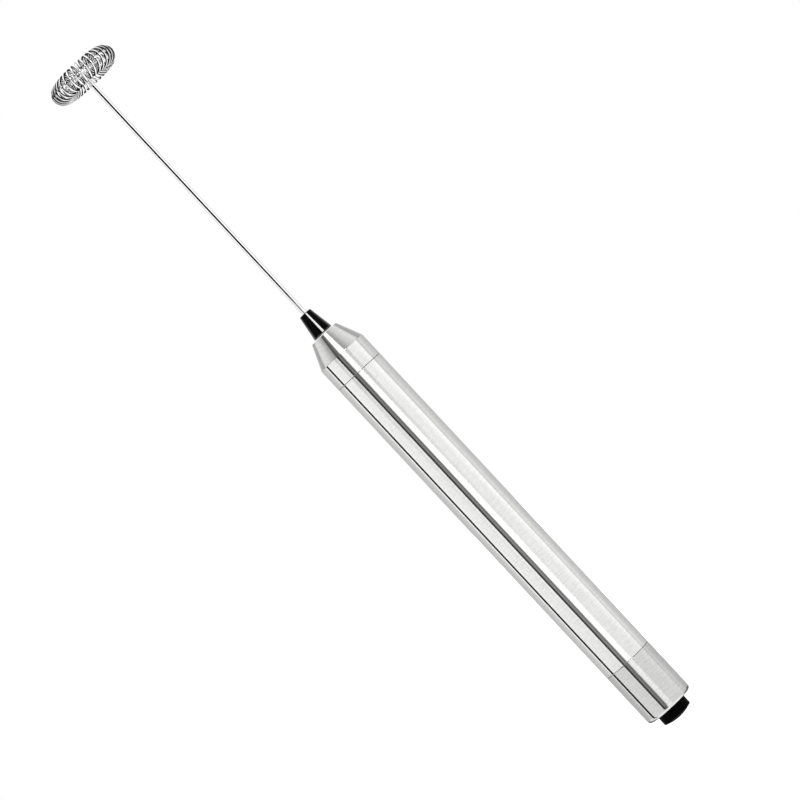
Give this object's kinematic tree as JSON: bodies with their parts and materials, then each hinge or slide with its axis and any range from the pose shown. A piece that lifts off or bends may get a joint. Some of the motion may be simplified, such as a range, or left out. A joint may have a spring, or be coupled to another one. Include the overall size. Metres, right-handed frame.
{
  "type": "milk frother",
  "caption": "Slim hand-held battery milk frother: round steel handle with an end push button, conical nose, and a coil whisk on a long wire driven by a small motor.",
  "frame": {"origin": "on the handle's axis, at the crown of the push button, the lowest point of the frother held upright", "axes": "+Z along the handle and the wire towards the whisk; +X the side of the handle where the motor's positive terminal is"},
  "size_m": [0.0256, 0.0256, 0.2862],
  "materials": {
    "tube_steel": "fine circumferential brushing",
    "cap_steel": "fine circumferential brushing, a little duller",
    "nose_steel": "fine turned brushing",
    "wire_steel": "polished stainless wire",
    "coil_steel": "bright drawn stainless wire",
    "black_plastic": "gloss black moulding",
    "button_plastic": "satin black moulding",
    "rubber": "soft black rubber",
    "grey_plastic": "dark grey moulding",
    "white_plastic": "natural white moulding",
    "brown_board": "brown phenolic moulding",
    "brass": "plain stamped brass",
    "bronze": "sintered bronze",
    "copper": "enamelled copper wire",
    "spring_steel": "bright spring steel",
    "plated_steel": "zinc-plated sheet",
    "core_steel": "stacked electrical steel",
    "ferrite": "dark sintered ferrite",
    "carbon": "carbon brush",
    "lead_sleeve": "black insulation",
    "cell_jacket": "plain dark green film",
    "cell_steel": "nickel-plated steel"
  },
  "bodies": {
    "handle": {"main_tube": "tube_steel", "battery_sleeve": "white_plastic", "return_strip": "brass", "return_lead": "lead_sleeve", "front_contact": "brass", "motor_carrier": "grey_plastic", "motor_mount": "grey_plastic", "nose_cap": "nose_steel", "nose_seal": "rubber", "motor_screws": "plated_steel", "motor_can": "plated_steel", "motor_end_bell": "white_plastic", "motor_terminals": "brass", "brushes": "carbon", "magnets": "ferrite", "front_bearing": "bronze", "rear_bearing": "bronze"},
    "whisk": {"whisk_wire": "wire_steel", "whisk_coil": "coil_steel", "shaft_coupling": "black_plastic", "rotor_shaft": "spring_steel", "armature_core": "core_steel", "armature_windings": "copper", "commutator": "copper", "commutator_hub": "brown_board", "thrust_washers": "white_plastic"},
    "end_cap": {"end_cap_shell": "cap_steel", "cap_plug": "grey_plastic", "cap_o_rings": "rubber", "cap_contact_ring": "brass", "switch_housing": "white_plastic", "contact_holder": "brown_board", "spring_contact": "brass", "ring_contact": "brass", "spring_plate": "brass", "battery_spring": "spring_steel"},
    "button": {"button": "button_plastic", "button_plunger": "white_plastic", "contact_bridge": "brass", "button_spring": "spring_steel"},
    "cells": {"lower_cell_can": "cell_steel", "lower_cell_jacket": "cell_jacket", "lower_cell_washer": "white_plastic", "lower_cell_terminal": "cell_steel", "upper_cell_can": "cell_steel", "upper_cell_jacket": "cell_jacket", "upper_cell_washer": "white_plastic", "upper_cell_terminal": "cell_steel"}
  },
  "joints": [
    {"name": "whisk_spin", "type": "hinge", "parent": "handle", "child": "whisk", "pos_m": [0, 0, 0.17], "axis": [0, 0, 1], "continuous": true},
    {"name": "end_cap_pull", "type": "slide", "parent": "handle", "child": "end_cap", "axis": [0, 0, -1], "range_m": [0, 0.036]},
    {"name": "cells_out", "type": "slide", "parent": "handle", "child": "cells", "axis": [0, 0, -1], "range_m": [0, 0.0216]},
    {"name": "button_press", "type": "slide", "parent": "end_cap", "child": "button", "axis": [0, 0, 1], "range_m": [0, 0.0018], "stiffness_N_per_m": 600, "springref_m": -0.002, "deforming": ["button_spring"]}
  ],
  "couplings": [
    {"joint": "cells_out", "follows": "end_cap_pull", "ratio": 0.6}
  ]
}
